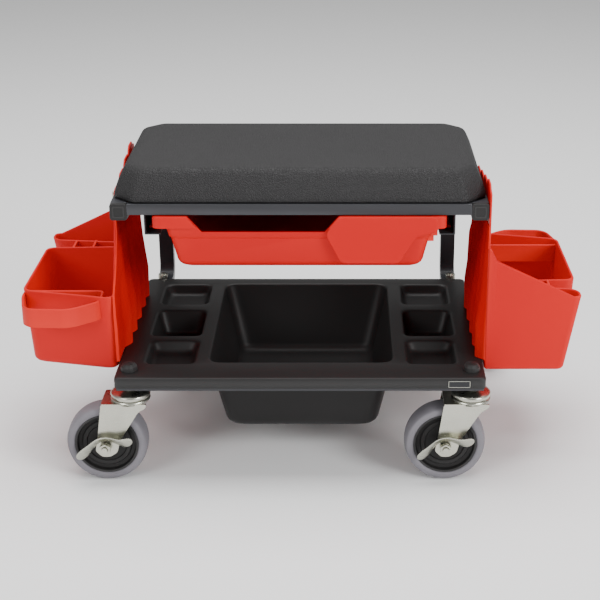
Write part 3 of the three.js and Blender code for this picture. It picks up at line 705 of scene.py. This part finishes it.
# ---------------------------------------------------------------- castors
def both_faces(half):
    """A half profile and its mirror across the wheel's middle plane."""
    return half + [(radius, -out) for radius, out in reversed(half)]


def build_castor(corner):
    x, y, trail = CASTORS[corner]
    wheel_x = x + trail * WHEEL_TRAIL

    def axle(u, v, w):
        return (wheel_x + u, y + w, WHEEL_CENTRE + v)

    def king(u, v, w):
        return (x + u, y + v, w)

    name = f"castor_{corner}"
    mesh = Mesh()
    mesh.lathe(both_faces(TYRE_HALF), axle)
    tyre = mesh.piece(f"{name}_tread", RUBBER, f"{name}_wheel", "grey_tyre", smooth=50)
    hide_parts(f"{name}_tyre")
    mesh = Mesh()
    mesh.lathe(both_faces(HUB_HALF), axle)
    hub = mesh.piece(f"{name}_rim", BLACK, f"{name}_wheel", "black_plastic", smooth=32)
    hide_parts(f"{name}_hub")
    mesh = Mesh()
    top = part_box(f"{name}_top_race")[1].z / MM
    mesh.lathe([(HEAD_BORE, HEAD_SIDE[0][1]), *HEAD_SIDE, (HEAD_NECK, top), (HEAD_BORE, top)], king)
    race = mesh.piece(f"{name}_head", ZINC, "base", "zinc", smooth=40)
    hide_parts(f"{name}_top_race")
    mesh = Mesh()
    mesh.lathe(DISH, king)
    mesh.piece(f"{name}_dish", ZINC, f"{name}_swivel", "zinc", smooth=40)


def build_brake(corner):
    """A bowed strip over the axle nut with a broad dished wing at each end."""
    x, y, trail = CASTORS[corner]
    wheel_x = x + trail * WHEEL_TRAIL
    tilt = math.radians(WING_TILT)
    underside = [(-1, 0), (-0.5, -WING_DISH), (0.5, -WING_DISH), (1, 0)]
    topside = [(share, lift + WING_THICK) for share, lift in reversed(underside)]
    mesh = Mesh()
    rings = []
    for u, height, half, out in WINGS:
        steep = math.radians(WING_LEAN + WING_EXTRA_LEAN * min(abs(u) / 30, 1))
        reach = half * WING_SPREAD
        section = []
        for share, lift in underside + topside:
            w = FORK_FACE - out - share * reach * math.cos(steep)
            v = height + share * reach * math.sin(steep) + lift
            du = u * math.cos(tilt) - v * math.sin(tilt)
            dv = u * math.sin(tilt) + v * math.cos(tilt)
            spot = (wheel_x + du, y + max(w, WING_LIMIT), WHEEL_CENTRE + dv)
            section.append(mesh.bm.verts.new(spot))
        rings.append(section)
    mesh.loft(rings)
    wings = mesh.piece(f"castor_{corner}_wings", ZINC, f"castor_{corner}_brake", "zinc", smooth=60)
    smooth = wings.modifiers.new("pressed_curves", "SUBSURF")
    smooth.levels = 2
    smooth.render_levels = 2
    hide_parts(f"castor_{corner}_brake_pedal")


# ---------------------------------------------------------------- pieces kept from the frame
KEPT = {
    "black_steel": (COAT, 0.8), "black_plastic": (BLACK, 0.6), "zinc": (ZINC, 0.4),
    "board": (PLY, 0.3), "red_plastic": (RED, 0.5), "grey_tyre": (RUBBER, 0.5), "pad": (PAD_SKIN, 1.0),
}


def dress_kept_nodes():
    """Gives each node its finish, joins its split corners and rounds its edges."""
    for row in frame["record"]["subparts"]:
        node = frame["nodes"][row["node"]]
        finish, width = KEPT[row["material_slot"]]
        node.data.materials.clear()
        node.data.materials.append(finish)
        weld = node.modifiers.new("joined_corners", "WELD")
        weld.merge_threshold = 0.00002
        planar = node.modifiers.new("flat_faces", "DECIMATE")
        planar.decimate_type = "DISSOLVE"
        planar.angle_limit = math.radians(1)
        bevel = node.modifiers.new("rounded_edges", "BEVEL")
        bevel.width = width * MM
        bevel.segments = 2
        bevel.limit_method = "ANGLE"
        bevel.angle_limit = math.radians(38)
        for polygon in node.data.polygons:
            polygon.use_smooth = False


def square_about(x, z, half):
    return rectangle((x - half, x + half, z - half, z + half))


def build_cap_frames():
    """The raised square on the face of each front end cap."""
    for side_name in SIDES:
        low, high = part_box(f"end_cap_front_{side_name}")
        x, z = (low.x + high.x) / 2 / MM, (low.z + high.z) / 2 / MM
        face = (low.y - MIDDLE_Y) / MM
        mesh = Mesh()
        outer = rounded(square_about(x, z, CAP_FRAME_OUTER), 2)
        inner = rounded(square_about(x, z, CAP_FRAME_INNER), 1.5)
        rings = [[mesh.bm.verts.new((u, face + w, v)) for u, v in ring]
                 for ring, w in ((outer, 0.2), (outer, -0.4), (inner, -0.4), (inner, 0.2))]
        mesh.loft(rings + [rings[0]], cap_first=False, cap_last=False)
        mesh.piece(f"cap_frame_{side_name}", BLACK, "base", "black_plastic", smooth=30)


# ---------------------------------------------------------------- studio
def area_light(name, spot, aim, size, watts):
    data = bpy.data.lights.new(name, "AREA")
    data.shape = "RECTANGLE"
    data.size, data.size_y = size
    data.energy = watts
    light = bpy.data.objects.new(name, data)
    light.location = spot
    light.rotation_euler = (Vector(aim) - Vector(spot)).to_track_quat("-Z", "Y").to_euler()
    bpy.context.collection.objects.link(light)


def build_studio():
    mesh = bpy.data.meshes.new("floor")
    corners = rectangle((-FLOOR_REACH, FLOOR_REACH, -FLOOR_REACH, FLOOR_REACH))
    mesh.from_pydata([(x, y, 0) for x, y in corners], [], [(0, 1, 2, 3)])
    floor = bpy.data.objects.new("floor", mesh)
    bpy.context.collection.objects.link(floor)
    pale = Finish("pale_floor")
    mesh.materials.append(pale.surface(rgb(0.90, 0.90, 0.90), 0.8))
    world = bpy.data.worlds.new("soft_room")
    world.use_nodes = True
    backdrop = world.node_tree.nodes["Background"]
    backdrop.inputs["Color"].default_value = rgb(1, 1, 1)
    backdrop.inputs["Strength"].default_value = ROOM_STRENGTH
    bpy.context.scene.world = world
    area_light("overhead", (0.0, 0.3, 2.6), (0, 0, 0.2), (2.6, 2.0), 92)
    area_light("front_left", (-1.8, -2.2, 1.5), (0, 0, 0.2), (1.2, 1.2), 36)
    area_light("front_right", (1.9, -1.8, 1.3), (0, 0, 0.2), (1.0, 1.2), 58)


def build_camera():
    data = bpy.data.cameras.new("camera")
    data.lens = 84
    data.sensor_width = 36
    data.shift_x = -0.0717
    camera = bpy.data.objects.new("camera", data)
    camera.location = CAMERA_SPOT
    camera.rotation_euler = (math.radians(90 - CAMERA_DOWN), 0, 0)
    bpy.context.collection.objects.link(camera)
    bpy.context.scene.camera = camera


build_camera()
dress_kept_nodes()
build_pad()
build_deck()
build_badge()
build_drawer()
build_cap_frames()
for side_name in SIDES:
    build_bin(side_name)
for corner in CASTORS:
    build_castor(corner)
for corner in ("front_left", "front_right"):
    build_brake(corner)
build_studio()
